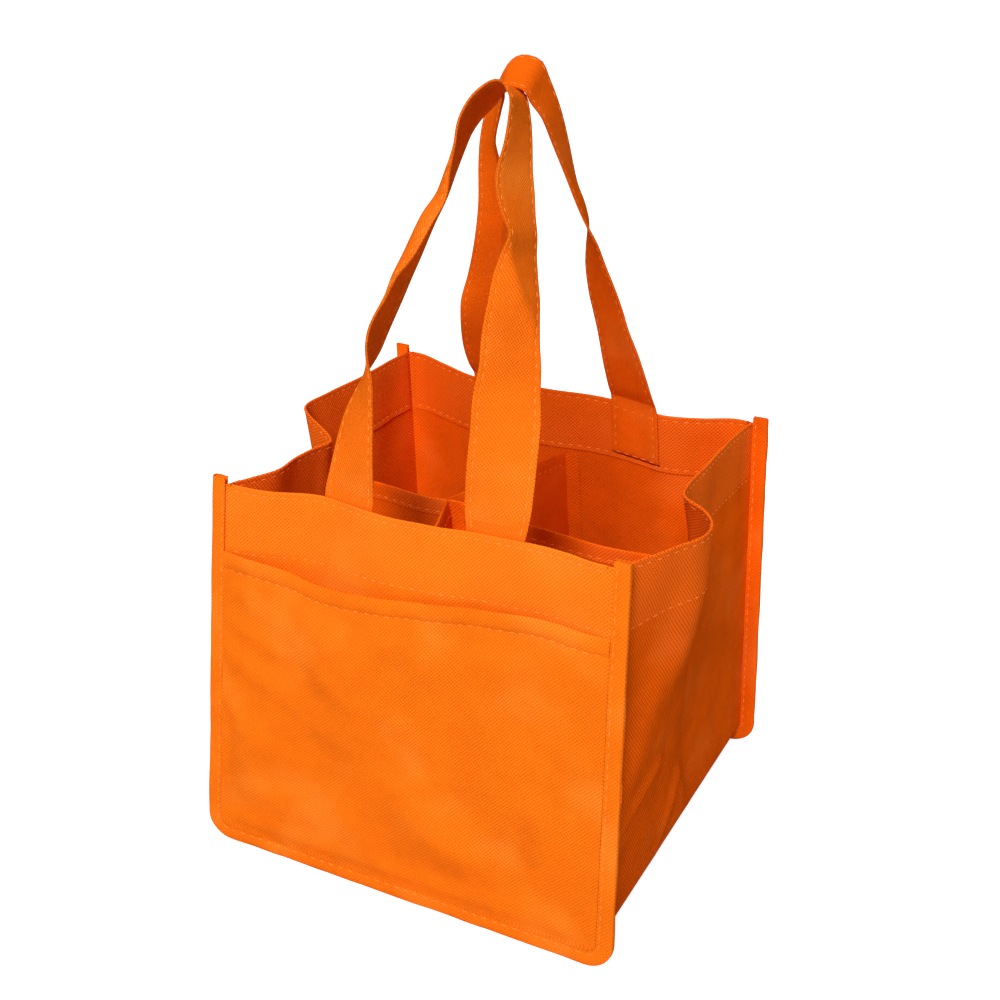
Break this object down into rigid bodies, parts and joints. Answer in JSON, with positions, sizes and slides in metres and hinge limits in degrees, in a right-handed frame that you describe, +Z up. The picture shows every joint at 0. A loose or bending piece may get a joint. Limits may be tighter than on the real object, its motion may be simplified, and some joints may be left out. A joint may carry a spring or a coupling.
{
  "type": "cup carrier bag",
  "caption": "Open-topped carrier bag for take-away cups, sewn from non-woven cloth, with crossed inner walls, a front pocket and two strap handles.",
  "frame": {"origin": "centre of the bounding box in x and y, at its lowest point", "axes": "+Z up; the side with the pocket faces -Y; +X to the right of a person facing the pocket"},
  "size_m": [0.2552, 0.2274, 0.3986],
  "materials": {
    "orange_cloth": "matt",
    "divider_cloth": "matt",
    "binding_tape": "matt",
    "strap_cloth": "matt",
    "base_board": "matt"
  },
  "bodies": {
    "bag": {"front_panel": "orange_cloth", "back_panel": "orange_cloth", "gusset_strip": "orange_cloth", "front_binding": "binding_tape", "back_binding": "binding_tape", "cross_divider": "divider_cloth", "front_web": "divider_cloth", "back_web": "divider_cloth", "base_board": "base_board", "front_handle_end_left": "strap_cloth", "front_handle_end_right": "strap_cloth", "back_handle_end_left": "strap_cloth", "back_handle_end_right": "strap_cloth"},
    "front_handle": {"front_handle_loop": "strap_cloth"},
    "back_handle": {"back_handle_loop": "strap_cloth"},
    "pocket": {"front_pocket": "orange_cloth"}
  },
  "joints": [
    {"name": "front_handle_swing", "type": "hinge", "parent": "bag", "child": "front_handle", "pos_m": [-0.00298, -0.1036, 0.22185], "axis": [1, 0, 0], "range_deg": [0, 130]},
    {"name": "back_handle_swing", "type": "hinge", "parent": "bag", "child": "back_handle", "pos_m": [-0.00298, 0.08561, 0.22185], "axis": [-1, 0, 0], "range_deg": [0, 130]},
    {"name": "pocket_mouth", "type": "hinge", "parent": "bag", "child": "pocket", "pos_m": [-0.00298, -0.11039, 0.0085], "axis": [1, 0, 0], "range_deg": [0, 5], "stiffness_Nm_per_rad": 0.05}
  ]
}
